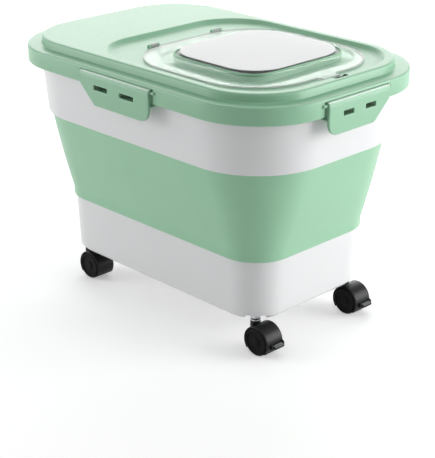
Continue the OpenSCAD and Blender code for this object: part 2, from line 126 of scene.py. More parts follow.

# %% [markdown]
# ## Moulded polypropylene
# The lid, clips, ring and tub are injection moulded polypropylene: a waxy plastic with a satin face
# that comes from the spark-eroded mould. The eye gets a soft highlight, faint clouds of colour where
# the melt flowed, and edges worn a little paler by handling; on the green their pale colour is also
# a painted highlight. The mould's real grain is about 0.1 mm, too fine to show, so it is drawn
# 0.7 mm wide. The lid's narrow finger recess looks much darker than the rest, so it is painted a
# deep green: painted shade. A pale green copy of the finish is a painted highlight.

# %% Polypropylene
def polypropylene(name, base, cloud, rubbed_and_highlight, roughness):
    """Satin moulded polypropylene in one colour, with flow clouds, mould grain and paler edges: wear,
    and on the green also a painted highlight.
    """
    material, tree, shader = new_material(name)
    place = add(tree, "ShaderNodeTexCoord")
    clouds = add(tree, "ShaderNodeTexNoise", {"Scale": 1 / (55 * MM), "Detail": 3.0, "Roughness": 0.55},
                 {"Vector": (place, "Object")})
    cloudy = add(tree, "ShaderNodeMix", {"data_type": "RGBA", 6: linear(base), 7: linear(cloud)},
                 {0: (clouds, "Fac")})
    # The pale edges are wear and, on the green, a painted highlight.
    edge = edge_wear_and_highlight(tree, 1.2 * MM, 0.995, 0.86)
    patch_noise = add(tree, "ShaderNodeTexNoise", {"Scale": 1 / (4 * MM), "Detail": 4.0, "Roughness": 0.7},
                 {"Vector": (place, "Object")})
    patchy = add(tree, "ShaderNodeMapRange", {1: 0.35, 2: 0.7, 3: 0.3, 4: 0.85}, {0: (patch_noise, "Fac")})
    rub_and_highlight = add(tree, "ShaderNodeMath", {"operation": "MULTIPLY"}, {0: (edge, 0), 1: (patchy, 0)})
    colour = add(tree, "ShaderNodeMix", {"data_type": "RGBA", 7: linear(rubbed_and_highlight)},
                 {0: (rub_and_highlight, 0), 6: (cloudy, 2)})
    satin_map = add(tree, "ShaderNodeMapRange", {1: 0.3, 2: 0.7, 3: roughness - 0.04, 4: roughness + 0.05},
                    {0: (patch_noise, "Fac")})
    grain = add(tree, "ShaderNodeTexNoise", {"Scale": 1 / (0.7 * MM), "Detail": 2.0, "Roughness": 0.6},
                {"Vector": (place, "Object")})
    bump = add(tree, "ShaderNodeBump", {"Strength": 0.10, "Distance": 0.05 * MM}, {"Height": (grain, "Fac")})
    shader.inputs["IOR"].default_value = 1.49
    finish(tree, shader, colour, satin_map, bump)
    return material


# The green's pale edge colour is wear and also a painted highlight.
mint_pp = polypropylene("mint_polypropylene_moulded", MINT, "8dbf9d", "dcefe2", 0.34)
# A pale green used only as a painted highlight, on the clips' barrels.
mint_painted_highlight = polypropylene("mint_polypropylene_painted_highlight", "eef8f1", "e4f3e9", "f6fbf7", 0.3)
# A deep green that is painted shade, for the finger recess.
mint_painted_shade = polypropylene("mint_polypropylene_recess_painted_shade", "4a6a57", "42614f", "7c9c88", 0.4)
white_pp = polypropylene("white_polypropylene_moulded", "ececed", "e8e8ea", "f4f4f4", 0.38)
print("made", mint_pp.name, mint_painted_highlight.name, mint_painted_shade.name, white_pp.name)

# %% [markdown]
# ## Soft thermoplastic elastomer
# The folding band is TPE, a rubbery plastic that is moulded onto the tub and the ring. It is more
# matt than the polypropylene, and each time it folds, a faint pale stress line stays where it bent.
# The lines run round the bin, so a wave texture banded along Z draws them 9 mm apart. The real
# grain is under 0.1 mm, and it is drawn 0.8 mm wide.

# %% Thermoplastic elastomer
def elastomer(name, base, cloud, stressed, roughness):
    """Matt moulded TPE with faint fold lines round the band and a soft, dusty sheen."""
    material, tree, shader = new_material(name)
    place = add(tree, "ShaderNodeTexCoord")
    clouds = add(tree, "ShaderNodeTexNoise", {"Scale": 1 / (40 * MM), "Detail": 3.0, "Roughness": 0.5},
                 {"Vector": (place, "Object")})
    cloudy = add(tree, "ShaderNodeMix", {"data_type": "RGBA", 6: linear(base), 7: linear(cloud)},
                 {0: (clouds, "Fac")})
    lines = add(tree, "ShaderNodeTexWave", {"wave_type": "BANDS", "bands_direction": "Z",
                                            "Scale": band_scale(9 * MM), "Distortion": 1.2,
                                            "Detail": 2.0, "Detail Scale": 3.0},
                {"Vector": (place, "Object")})
    faint = add(tree, "ShaderNodeMapRange", {1: 0.90, 2: 1.0, 3: 0.0, 4: 0.035}, {0: (lines, "Fac")})
    colour = add(tree, "ShaderNodeMix", {"data_type": "RGBA", 7: linear(stressed)},
                 {0: (faint, 0), 6: (cloudy, 2)})
    grain = add(tree, "ShaderNodeTexNoise", {"Scale": 1 / (0.8 * MM), "Detail": 3.0, "Roughness": 0.65},
                {"Vector": (place, "Object")})
    satin_map = add(tree, "ShaderNodeMapRange", {1: 0.3, 2: 0.7, 3: roughness - 0.04, 4: roughness + 0.04},
                    {0: (clouds, "Fac")})
    bump = add(tree, "ShaderNodeBump", {"Strength": 0.12, "Distance": 0.06 * MM}, {"Height": (grain, "Fac")})
    shader.inputs["IOR"].default_value = 1.48
    shader.inputs["Sheen Weight"].default_value = 0.3
    shader.inputs["Sheen Roughness"].default_value = 0.5
    finish(tree, shader, colour, satin_map, bump)
    return material


mint_tpe = elastomer("mint_tpe_moulded", "9cd0ac", "96caa6", "b4dcbf", 0.42)
print("made", mint_tpe.name)

# %% [markdown]
# ## Clear cover
# The flip cover is moulded from clear plastic. Its walls and flange are clear, and its flat top is
# frosted by a sandblasted face in the mould, which hides scratches. Its rim is tinted dark grey: a
# painted shade that stands in for the dark edge the eye sees where it looks along the sheet instead
# of through it. One function makes the four finishes: sheet, dome wall, frosted top and painted dark
# rim. Cycles gives a solid shadow to anything that refracts, so a part of each shadow ray is let
# through, and what lies under the cover keeps its light. A part of the camera's light goes straight
# through too: so thin a sheet hardly bends the view. The real scratches are finer than a pixel, and
# their specks are drawn 0.9 mm wide.

# %% Clear plastic
def clear_plastic(name, tint, roughness, clear_share, body, shadow):
    """Clear moulded plastic with fine specks. Body and shadow are how much of it the eye and a
    shadow ray meet."""
    material, tree, shader = new_material(name)
    place = add(tree, "ShaderNodeTexCoord")
    specks = add(tree, "ShaderNodeTexNoise", {"Scale": 1 / (0.9 * MM), "Detail": 3.0, "Roughness": 0.6},
                 {"Vector": (place, "Object")})
    hazy = add(tree, "ShaderNodeMix", {"data_type": "RGBA", 6: linear(tint), 7: linear("f4f6f5")},
               {0: (specks, "Fac")})
    rough = add(tree, "ShaderNodeMapRange", {1: 0.3, 2: 0.7, 3: roughness - 0.03, 4: roughness + 0.03},
                {0: (specks, "Fac")})
    bump = add(tree, "ShaderNodeBump", {"Strength": 0.06, "Distance": 0.04 * MM}, {"Height": (specks, "Fac")})
    rays = add(tree, "ShaderNodeLightPath")
    alpha = add(tree, "ShaderNodeMapRange", {1: 0.0, 2: 1.0, 3: body, 4: shadow},
                {0: (rays, "Is Shadow Ray")})
    shader.inputs["IOR"].default_value = 1.45
    shader.inputs["Transmission Weight"].default_value = clear_share
    finish(tree, shader, hazy, rough, bump)
    tree.links.new(alpha.outputs[0], shader.inputs["Alpha"])
    return material


cover_clear = clear_plastic("clear_plastic_moulded", "f3faf6", 0.14, 0.8, 0.34, 0.1)
cover_wall = clear_plastic("clear_plastic_dome_wall", "e6f5ec", 0.1, 0.97, 0.14, 0.08)
cover_frosted = clear_plastic("clear_plastic_sandblasted", "f1f3f2", 0.45, 0.1, 0.96, 0.8)
# The rim's dark grey tint is painted shade.
cover_rim_painted_shade = clear_plastic("clear_plastic_rim_painted_shade", "39443e", 0.3, 0.3, 0.85, 0.5)
print("made", cover_clear.name, cover_wall.name, cover_frosted.name, cover_rim_painted_shade.name)

# %% [markdown]
# ## Silicone
# The two seals are soft silicone, matt and a little dusty: white under the lid, mint on the cover.
# The dust is a soft noise 6 mm wide. The grain is too fine to show, and is drawn 0.7 mm wide.

# %% Silicone
def silicone_rubber(name, clean, dusted):
    """Matt moulded silicone with a little dust on it."""
    material, tree, shader = new_material(name)
    place = add(tree, "ShaderNodeTexCoord")
    dust = add(tree, "ShaderNodeTexNoise", {"Scale": 1 / (6 * MM), "Detail": 4.0},
               {"Vector": (place, "Object")})
    dusty = add(tree, "ShaderNodeMix", {"data_type": "RGBA", 6: linear(clean), 7: linear(dusted)},
                {0: (dust, "Fac")})
    matt = add(tree, "ShaderNodeMapRange", {1: 0.3, 2: 0.7, 3: 0.5, 4: 0.6}, {0: (dust, "Fac")})
    grain = add(tree, "ShaderNodeTexNoise", {"Scale": 1 / (0.7 * MM)}, {"Vector": (place, "Object")})
    bump = add(tree, "ShaderNodeBump", {"Strength": 0.1, "Distance": 0.04 * MM}, {"Height": (grain, "Fac")})
    shader.inputs["IOR"].default_value = 1.41
    finish(tree, shader, dusty, matt, bump)
    return material


silicone = silicone_rubber("white_silicone_moulded", "e4e9e5", "dbe2dd")
mint_silicone = silicone_rubber("mint_silicone_moulded", "9ccfac", "a6d2b4")
print("made", silicone.name, mint_silicone.name)

# %% [markdown]
# ## Zinc-plated steel
# The caster stems, the axles and the hinge pins are steel, turned and zinc plated. The tool leaves
# fine rings, really about 0.1 mm apart and drawn 0.8 mm apart, and the zinc dulls in small stains.

# %% Zinc-plated steel
steel, tree, shader = new_material("steel_zinc_plated_turned")
place = add(tree, "ShaderNodeTexCoord")
turning = add(tree, "ShaderNodeTexWave", {"wave_type": "BANDS", "bands_direction": "Z",
                                          "Scale": band_scale(0.8 * MM), "Distortion": 0.5},
              {"Vector": (place, "Object")})
stain = add(tree, "ShaderNodeTexNoise", {"Scale": 1 / (3 * MM), "Detail": 4.0}, {"Vector": (place, "Object")})
zinc = add(tree, "ShaderNodeMix", {"data_type": "RGBA", 6: linear("c9cbce"), 7: linear("b3b6ba")},
           {0: (stain, "Fac")})
zinc_rough = add(tree, "ShaderNodeMapRange", {1: 0.3, 2: 0.7, 3: 0.24, 4: 0.38}, {0: (stain, "Fac")})
ring_bump = add(tree, "ShaderNodeBump", {"Strength": 0.15, "Distance": 0.03 * MM},
                {"Height": (turning, "Fac")})
shader.inputs["Metallic"].default_value = 1.0
finish(tree, shader, zinc, zinc_rough, ring_bump)
print("made", steel.name)

# %% [markdown]
# ## Black nylon
# Wheels, hoods and pedals are moulded black nylon, a satin black that wears grey on the edges. The
# treads are more matt. The ribs of the pedals are coloured pale grey as a painted highlight, for the
# gloss that catches the light on them. The mould's grain is too fine to show, and is drawn 0.6 mm
# wide.

# %% Black nylon
def nylon(name, base, scuff_and_highlight, roughness, scuff_and_highlight_share, gloss):
    """Satin black moulded nylon with a fine mould grain. Its edges and patches take the second colour:
    grey wear, and on the pedal ribs a painted highlight.
    """
    material, tree, shader = new_material(name)
    place = add(tree, "ShaderNodeTexCoord")
    edge = edge_wear_and_highlight(tree, 0.8 * MM, 0.99, 0.8)
    patch_noise = add(tree, "ShaderNodeTexNoise", {"Scale": 1 / (1.6 * MM), "Detail": 5.0, "Roughness": 0.7},
                 {"Vector": (place, "Object")})
    patchy = add(tree, "ShaderNodeMapRange", {1: 0.42, 2: 0.7, 3: 0.0, 4: scuff_and_highlight_share}, {0: (patch_noise, "Fac")})
    most = add(tree, "ShaderNodeMath", {"operation": "MAXIMUM"}, {0: (patchy, 0), 1: (edge, 0)})
    rub_and_highlight = add(tree, "ShaderNodeMath", {"operation": "MULTIPLY", 1: 0.55}, {0: (most, 0)})
    colour = add(tree, "ShaderNodeMix", {"data_type": "RGBA", 6: linear(base), 7: linear(scuff_and_highlight)},
                 {0: (rub_and_highlight, 0)})
    rough = add(tree, "ShaderNodeMapRange", {1: 0.3, 2: 0.7, 3: roughness - 0.05, 4: roughness + 0.12},
                {0: (patch_noise, "Fac")})
    grain = add(tree, "ShaderNodeTexNoise", {"Scale": 1 / (0.6 * MM), "Detail": 2.0},
                {"Vector": (place, "Object")})
    bump = add(tree, "ShaderNodeBump", {"Strength": 0.15, "Distance": 0.05 * MM}, {"Height": (grain, "Fac")})
    shader.inputs["IOR"].default_value = 1.53
    shader.inputs["Specular IOR Level"].default_value = gloss
    finish(tree, shader, colour, rough, bump)
    return material


black_nylon = nylon("black_nylon_moulded", "050606", "2a2b2c", 0.34, 0.15, 0.22)
tread_nylon = nylon("black_nylon_tread_worn", "040505", "262726", 0.44, 0.25, 0.08)
# The ribs' pale grey is a painted highlight.
rib_nylon_painted_highlight = nylon("black_nylon_ribs_painted_highlight", "6a6e6d", "a3a7a5", 0.3, 0.9, 0.5)
print("made", black_nylon.name, tread_nylon.name, rib_nylon_painted_highlight.name)

# %% [markdown]
# ## A moulded wall as a loft
# Nearly every wall of the bin follows a rectangle with round corners. Lofting between such outlines
# gives the clean quads and true fillets that a moulded wall has, where a boolean of blocks would
# leave hard edges. An outline is (middle x, half length, half width, corner radius). All outlines
# have the same number of points, so any two can be joined.

# %% Outlines and lofts
CORNER_STEPS = 20
SIDE_STEPS = 6


def outline_points(outline):
    """Points of a rounded rectangle, anticlockwise from the +X side."""
    cx, hx, hy, r = outline
    points = []
    for turn, sx, sy in ((0, 1, 1), (90, -1, 1), (180, -1, -1), (270, 1, -1)):
        for i in range(CORNER_STEPS + 1):
            a = math.radians(turn + 90 * i / CORNER_STEPS)
            points.append(Vector((cx + sx * (hx - r) + r * math.cos(a), sy * (hy - r) + r * math.sin(a))))
    closed = []
    for i, p in enumerate(points):
        closed.append(p)
        if i % (CORNER_STEPS + 1) == CORNER_STEPS:
            q = points[(i + 1) % len(points)]
            closed += [p.lerp(q, k / SIDE_STEPS) for k in range(1, SIDE_STEPS)]
    return closed


def grown(outline, by):
    """The outline moved out by that much all round, or in if it is negative."""
    cx, hx, hy, r = outline
    return (cx, hx + by, hy + by, max(r + by, 0.4))


def rounded(profile, steps=5):
    """A profile of (out, z, fillet radius) points as (out, z) points, with a curve at each fillet."""
    made = []
    for i, (x, z, radius) in enumerate(profile):
        if radius <= 0 or i in (0, len(profile) - 1):
            made.append((x, z))
            continue
        here = Vector((x, z))
        back = Vector(profile[i - 1][:2]) - here
        on = Vector(profile[i + 1][:2]) - here
        half = back.angle(on) / 2
        reach = min(radius / math.tan(half), 0.49 * back.length, 0.49 * on.length)
        start, end = here + back.normalized() * reach, here + on.normalized() * reach
        for k in range(steps + 1):
            t = k / steps
            made.append(tuple(start * (1 - t) ** 2 + here * 2 * t * (1 - t) + end * t ** 2))
    return made


def stations(outline, profile, steps=5):
    """(outline, z) pairs for a profile that is measured out from one outline."""
    return [(grown(outline, out), z) for out, z in rounded(profile, steps)]


print("each outline has", len(outline_points((0, 20, 12, 8))), "points")

# %% [markdown]
# ## From rows of points to a piece
# A loft, a turned piece and a prism differ only in their rows of points. All three are built with
# bmesh, scaled from millimetres to metres, and shaded smooth except over sharp edges.

# %% Lofts, turned pieces and prisms
def smooth_object(name, mesh, material, sharp=38):
    """An object for the mesh, in metres, smooth except where faces meet at over that many degrees."""
    mesh.transform(Matrix.Scale(MM, 4))
    mesh.materials.append(material)
    mesh.polygons.foreach_set("use_smooth", [True] * len(mesh.polygons))
    mesh.set_sharp_from_angle(angle=math.radians(sharp))
    made = bpy.data.objects.new(name, mesh)
    bpy.context.scene.collection.objects.link(made)
    return made


def join_rows(work, low, high):
    """A strip of faces between two closed rows of points."""
    around = len(low)
    for k in range(around):
        work.faces.new((low[k], low[(k + 1) % around], high[(k + 1) % around], high[k]))


def to_mesh(name, work):
    """The finished bmesh as a mesh, with its faces turned outward."""
    bmesh.ops.recalc_face_normals(work, faces=work.faces)
    mesh = bpy.data.meshes.new(name)
    work.to_mesh(mesh)
    work.free()
    return mesh


def loft_mesh(name, pairs, closed=True):
    """A mesh through (outline, z) pairs, closed into a ring section or capped at both ends."""
    work = bmesh.new()
    rows = [[work.verts.new((p.x, p.y, z)) for p in outline_points(outline)] for outline, z in pairs]
    for i in range(len(rows) if closed else len(rows) - 1):
        join_rows(work, rows[i], rows[(i + 1) % len(rows)])
    if not closed:
        work.faces.new(list(reversed(rows[0])))
        work.faces.new(rows[-1])
    return to_mesh(name, work)


def turned(name, profile, centre, material, along="Z", steps=48):
    """A turned piece from a (radius, height) profile, about a line through the centre."""
    work = bmesh.new()
    rows = []
    for radius, height in profile:
        row = []
        for i in range(steps):
            a = 2 * math.pi * i / steps
            x, y = radius * math.cos(a), radius * math.sin(a)
            row.append((x, y, height) if along == "Z" else (y, height, x) if along == "Y" else (height, x, y))
        rows.append([work.verts.new(Vector(p) + Vector(centre)) for p in row])
    for low, high in zip(rows, rows[1:]):
        join_rows(work, low, high)
    if profile[0] != profile[-1]:
        work.faces.new(rows[0])
        work.faces.new(rows[-1])
    else:
        bmesh.ops.remove_doubles(work, verts=work.verts, dist=1e-5)
    return smooth_object(name, to_mesh(name, work), material)


def prism(name, corners, low, high, material, plane="XY"):
    """A straight prism on a flat polygon, between two distances along the third axis."""
    work = bmesh.new()
    rows = []
    for level in (low, high):
        rows.append([work.verts.new({"XY": (a, b, level), "XZ": (a, level, b), "YZ": (level, a, b)}[plane])
                     for a, b in corners])
    work.faces.new(rows[0])
    work.faces.new(rows[1])
    join_rows(work, *rows)
    return smooth_object(name, to_mesh(name, work), material)


# %% [markdown]
# ## Cutting, rounding and joining
# Holes and notches are booleans, and small edges are rounded by a Bevel modifier.

# %% Cut, soften, join and dress
def apply_modifiers(piece):
    """Turns the piece's modifiers into its mesh."""
    shown = piece.evaluated_get(bpy.context.evaluated_depsgraph_get())
    mesh = bpy.data.meshes.new_from_object(shown)
    piece.modifiers.clear()
    piece.data = mesh


def cut(piece, tools, mode="DIFFERENCE"):
    """Cuts the tools out of the piece, or joins them to it, and removes the tools."""
    for tool in tools:
        boolean = piece.modifiers.new("cut", "BOOLEAN")
        boolean.operation = mode
        boolean.solver = "EXACT"
        boolean.object = tool
    apply_modifiers(piece)
    for tool in tools:
        bpy.data.objects.remove(tool)
    piece.data.set_sharp_from_angle(angle=math.radians(38))


def soften(piece, width, segments=3):
    """Rounds the piece's sharp edges by that width in millimetres."""
    bevel = piece.modifiers.new("round", "BEVEL")
    bevel.width = width * MM
    bevel.segments = segments
    bevel.limit_method = "ANGLE"
    bevel.angle_limit = math.radians(35)
    bevel.harden_normals = False
    apply_modifiers(piece)
    piece.data.polygons.foreach_set("use_smooth", [True] * len(piece.data.polygons))
    piece.data.set_sharp_from_angle(angle=math.radians(50))


def box_object(name, low, high, material):
    """A block between two corners in millimetres, as the start of a cut or a bevelled detail."""
    work = bmesh.new()
    bmesh.ops.create_cube(work, size=1.0)
    for v in work.verts:
        v.co = Vector([(a + b) / 2 + c * (b - a) for a, b, c in zip(low, high, v.co)])
    mesh = bpy.data.meshes.new(name)
    work.to_mesh(mesh)
    work.free()
    return smooth_object(name, mesh, material)


def join_meshes(pieces):
    """Joins the pieces into the first one, and returns it."""
    with bpy.context.temp_override(active_object=pieces[0], object=pieces[0],
                                   selected_objects=pieces, selected_editable_objects=pieces):
        bpy.ops.object.join()
    return pieces[0]


def turn_by(degrees):
    """A turn about the bin's middle."""
    return Matrix.Rotation(math.radians(degrees), 4, "Z")


def dress(piece, body, slot, *nodes):
    """The piece rides on the body and stands for the CAD nodes, which it hides. The slot is not used."""
    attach(piece, body)
    if nodes:
        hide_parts(*nodes)
    return piece


# %% [markdown]
# ## Shared outlines and heights
# These are the CAD model's main outlines and heights, written once, so that the pieces that meet
# agree with one another.

# %% Outlines and heights
SKIRT = (0, 195, 132, 80)
DECK = (0, 180.5, 117.5, 68)
OPENING = (64.5, 60.5, 69, 24)
DOME_FOOT = (64.5, 76.5, 85, 40)
FLANGE = (58.5, 97.5, 98, 66)
POCKET = (45.5, 124.5, 108, 58)
RING_LOW = (0, 180.6, 117.6, 78)
TUB_FOOT = (0, 148.5, 85.5, 37)
FOOT_Z = 36.5
UNDER_Z = 41.0
BAND_Z = 101.0
RING_Z = 200.0
SKIRT_Z = 254.7
RIM_LOW_Z = 262.5
RIM_Z = 266.0
PLATE_Z = 269.8
LAND_Z = 272.4
POCKET_Z = 276.5
FLANGE_Z = 276.8
FLANGE_TOP_Z = 278.8
DECK_Z = 280.7
COLLAR_Z = 282.2
DOME_LOW_Z = 284.3
DOME_Z = 286.3

# %% [markdown]
# ## The four sides
# A clip hangs on each side, and the skirt's notch, the hinge rod and the ring's lugs belong to it. All
# are modelled facing -Y and then turned into place, so one table holds what differs: the skirt's
# face, half the clip's width, its slots, and the lugs behind them.

# %% Sides
PIVOT_OUT = 0.4
PIVOT_Z = 265.8
LONG_SIDE = {"face": 132, "half": 51.5, "slot_width": 20.3, "slot_offset": 19.5, "lug_half": 9.4}
SHORT_SIDE = {"face": 195, "half": 44, "slot_width": 14.6, "slot_offset": 16, "lug_half": 6.7}
SIDES = {"right": (0, LONG_SIDE), "front": (90, SHORT_SIDE), "left": (180, LONG_SIDE),
         "rear": (270, SHORT_SIDE)}
print("clips", 2 * LONG_SIDE["half"], "and", 2 * SHORT_SIDE["half"], "mm wide")

# %% [markdown]
# ## The white tub
# The tub tapers a little so that it leaves its mould, its foot has a soft bevel, and a rim runs round
# under its floor. The whole section is one closed profile, from the middle of the underside, round
# the rim and the wall, to the middle of the floor. The rim has a notch at each corner, through which
# the caster's stem is seen, so the notches are cut afterwards.

# %% Tub
STEM_X = 131.1
STEM_Y = 68.1
CORNERS = {"front_right": (1, -1), "front_left": (1, 1), "rear_right": (-1, -1), "rear_left": (-1, 1)}
TUB_TOP_Z = 108.7
FLOOR_Z = 43.5
floor_middle = (0, 20, 12, 8)
tub_section = [(floor_middle, UNDER_Z)]
tub_section += stations(TUB_FOOT, [(-30, UNDER_Z, 0), (-6.5, UNDER_Z, 0.8), (-6.5, FOOT_Z, 0.5),
                                   (-4.0, FOOT_Z, 1.2), (0.17, 40.5, 3.0), (2.8, BAND_Z, 0),
                                   (2.8, TUB_TOP_Z, 0.5), (0.5, TUB_TOP_Z, 0.5), (-2.3, FLOOR_Z, 6.0),
                                   (-30, FLOOR_Z, 0)])
tub_section += [(floor_middle, FLOOR_Z)]
tub = smooth_object("base_tub_moulded", loft_mesh("base_tub_moulded", tub_section, closed=False), white_pp)
notches = []
for sx, sy in CORNERS.values():
    notch = prism("notch", [(-9.5, 41.2), (9.5, 41.2), (12.5, 35.0), (-12.5, 35.0)], 18.5, 60.0, white_pp,
                  "YZ")
    notch.matrix_world = (Matrix.Translation(Vector((sx * 111.5, sy * 48.5, 0)) * MM)
                          @ Matrix.Rotation(math.atan2(sy, sx), 4, "Z"))
    notches.append(notch)
bpy.context.view_layer.update()
cut(tub, notches)
sockets = [turned("socket", rounded([(3.6, 43.0, 0), (6.9, 43.0, 0), (6.5, 55.5, 1.6), (0.01, 55.5, 0)]),
                  (sx * STEM_X, sy * STEM_Y, 0), white_pp) for sx, sy in CORNERS.values()]
join_meshes([tub, *sockets])
dress(tub, "base", "white_pp", "base_tub")
print("tub", len(tub.data.polygons), "faces")

# %% [markdown]
# ## The folding band
# The band starts as an upright lip that grips the top of the tub, and leans out to meet the ring,
# where it turns up inside.

# %% Band
BAND_STEPS = 28
BAND_WALL = 2.4
BAND_BELLY = 0.9
SLOPE_LOW_Z = 109.4
SLOPE_HIGH_Z = 199.6
LIP = grown(TUB_FOOT, 5.2)
BAND_TOP = grown(RING_LOW, -3.2)


def between(a, b, t):
    """The outline part of the way from one to another."""
    return tuple(p + (q - p) * t for p, q in zip(a, b))


def band_wall(inward):
    """Outlines up one face of the sloping wall, with a slight belly as soft plastic has."""
    rows = []
    for i in range(1, BAND_STEPS):
        t = i / BAND_STEPS
        belly = BAND_BELLY * math.sin(math.pi * t) - inward
        rows.append((grown(between(LIP, BAND_TOP, t), belly), SLOPE_LOW_Z + (SLOPE_HIGH_Z - SLOPE_LOW_Z) * t))
    return rows


band_section = stations(TUB_FOOT, [(2.95, BAND_Z, 0), (2.95, BAND_Z, 0), (5.2, BAND_Z, 0.9),
                                   (5.2, 109.3, 1.0)])
band_section += band_wall(0.0)
band_section += stations(RING_LOW, [(-3.4, 199.7, 0), (-3.2, 200.2, 0), (-3.2, 209.6, 0.8),
                                    (-5.6, 209.6, 0.8), (-5.6, RING_Z, 0)])
band_section += list(reversed(band_wall(BAND_WALL)))
band_section += stations(TUB_FOOT, [(2.95, 109.3, 0), (2.95, 105.0, 0)])
band = smooth_object("fold_band_moulded", loft_mesh("fold_band_moulded", band_section), mint_tpe)
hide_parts("fold_band")
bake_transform(band)
print("band", len(band.data.polygons), "faces")

# %% [markdown]
# ## The upper ring
# The ring is the stiff white wall above the band. Its upper edge turns out into a rim that carries
# the lid's seal, and behind each clip slot a small lug stands on the wall.

# %% Ring
ring_section = stations(RING_LOW, [(-2.8, 200.8, 0), (-2.8, RING_Z, 0.5), (0, RING_Z, 0.9),
                                   (5.7, RIM_LOW_Z, 0.8), (8.6, RIM_LOW_Z, 0.5), (8.6, RIM_Z, 1.0),
                                   (2.9, RIM_Z, 0.8), (-2.8, 201.5, 0)])
ring = smooth_object("upper_ring_moulded", loft_mesh("upper_ring_moulded", ring_section), white_pp)
lug_parts = []
for turn, side in SIDES.values():
    for way in (-1, 1):
        lug_x = way * side["slot_offset"]
        lug = box_object("lug", (lug_x - side["lug_half"], 5.1 - side["face"], 252.9),
                         (lug_x + side["lug_half"], 11 - side["face"], 256.7), white_pp)
        soften(lug, 0.8)
        lug.data.transform(turn_by(turn))
        lug_parts.append(lug)
join_meshes([ring, *lug_parts])
dress(ring, "ring", "white_pp", "upper_ring")
print("ring", len(ring.data.polygons), "faces")

# %% [markdown]
# ## The lid
# The lid is one moulding: a skirt, a flat land, a raised deck, and a pocket in the deck with a collar
# round the fill opening. One closed loft follows its skin from the skirt's edge over the top, down
# through the opening and back along the underside.

# %% Lid's skin
POCKET_LOW_Z = 273.9
DECK_LOW_Z = 278.1
lid_section = stations(SKIRT, [(-2.6, 255.6, 0), (-2.6, SKIRT_Z, 0.5), (0, SKIRT_Z, 0.9), (0, LAND_Z, 2.2),
                               (-10, LAND_Z, 0)])
lid_section += stations(DECK, [(3.0, LAND_Z, 0), (0.4, LAND_Z, 1.6), (-0.6, DECK_Z, 3.4),
                               (-5.5, DECK_Z, 0)], 7)
lid_section += stations(POCKET, [(2.5, DECK_Z, 0), (0, DECK_Z, 2.6), (-3.5, POCKET_Z, 2.6),
                                 (-7.0, POCKET_Z, 0)], 7)
lid_section += stations(OPENING, [(6.0, POCKET_Z, 0), (2.7, POCKET_Z, 0.8), (2.5, COLLAR_Z, 0.9),
                                  (0, COLLAR_Z, 0.9), (0, POCKET_LOW_Z, 0.8), (5.0, POCKET_LOW_Z, 0)])
lid_section += stations(POCKET, [(0, POCKET_LOW_Z, 0), (2.6, POCKET_LOW_Z, 1.0), (2.6, DECK_LOW_Z, 1.0)])
lid_section += stations(DECK, [(-2.6, DECK_LOW_Z, 0), (-2.6, DECK_LOW_Z, 0), (-2.6, PLATE_Z, 0.8)])
lid_section += stations(SKIRT, [(-2.6, PLATE_Z, 0), (-2.6, PLATE_Z, 0), (-2.6, 256.5, 0)])
lid = smooth_object("lid_shell_moulded", loft_mesh("lid_shell_moulded", lid_section), mint_pp)
print("lid's skin", len(lid.data.polygons), "faces")

# %% [markdown]
# ## Notches and the finger recess
# Each clip hangs in a notch of the skirt, a little wider than the clip. Under the cover's tab lies the
# finger recess: a box is first joined to the underside, to be its floor, and a rounded block is then
# cut out of it.

# %% Cut the lid
lid_cuts = []
for turn, side in SIDES.values():
    half, face_y = side["half"], -side["face"]
    tool = box_object("notch", (-half - 2.6, face_y - 2, 250), (half + 2.6, face_y + 3.4, 269.6), mint_pp)
    tool.data.transform(turn_by(turn))
    lid_cuts.append(tool)
recess_box = box_object("finger", (161.7, -12.1, 269.4), (177.6, 12.1, 276.0), mint_pp)
cut(lid, [recess_box], "UNION")
finger = box_object("finger", (164.3, -9.5, 272.0), (176.2, 9.5, 284.0), mint_pp)
soften(finger, 1.6)
lid_cuts.append(finger)
cut(lid, lid_cuts)
print("lid cut,", len(lid.data.polygons), "faces")

# %% [markdown]
# ## Ears, rods and rib
# Two pairs of small ears on the pocket's floor hold the cover's pins. Along each notch runs the rod
# that the clip turns on, with a boss at both ends. Under the lid a rib drops inside the ring and
# keeps the lid in place. The recess's faces take their deep green, a painted shade, before all is
# joined.

# %% Lid's details
HINGE = (-41.5, 0, 278.6)
HINGE_YS = (-45, 45)
KNUCKLE_HALF = 4.5
HINGE_GAP = 0.3
EAR_HALF = 1.2
RECESS_X = (163.9, 176.7)
RECESS_HALF = 10.0
RECESS_Z = (271.5, 278.5)
details = []
for y in HINGE_YS:
    for way in (-1, 1):
        middle = y + way * (KNUCKLE_HALF + HINGE_GAP + EAR_HALF)
        ear = prism("ear", [(-43.5, 275.2), (-39.5, 275.2), (-39.5, 278.8), (-39.9, 279.8), (-40.7, 280.5),
                            (-42.3, 280.5), (-43.1, 279.8), (-43.5, 278.8)],
                    middle - EAR_HALF, middle + EAR_HALF, mint_pp, "XZ")
        soften(ear, 0.25)
        details.append(ear)
for turn, side in SIDES.values():
    half, pivot = side["half"], (0, -side["face"] - PIVOT_OUT, PIVOT_Z)
    rods = [turned("rod", [(1.5, -half - 2.9), (1.5, half + 2.9)], pivot, mint_pp, "X", 24)]
    for way in (-1, 1):
        low, high = sorted((way * (half + 2.6), way * (half + 5.4)))
        rods.append(turned("boss", rounded([(0.01, low, 0), (1.7, low, 0.8), (1.7, high, 0.8),
                                            (0.01, high, 0)]), pivot, mint_pp, "X", 24))
    for piece in rods:
        piece.data.transform(turn_by(turn))
    details += rods
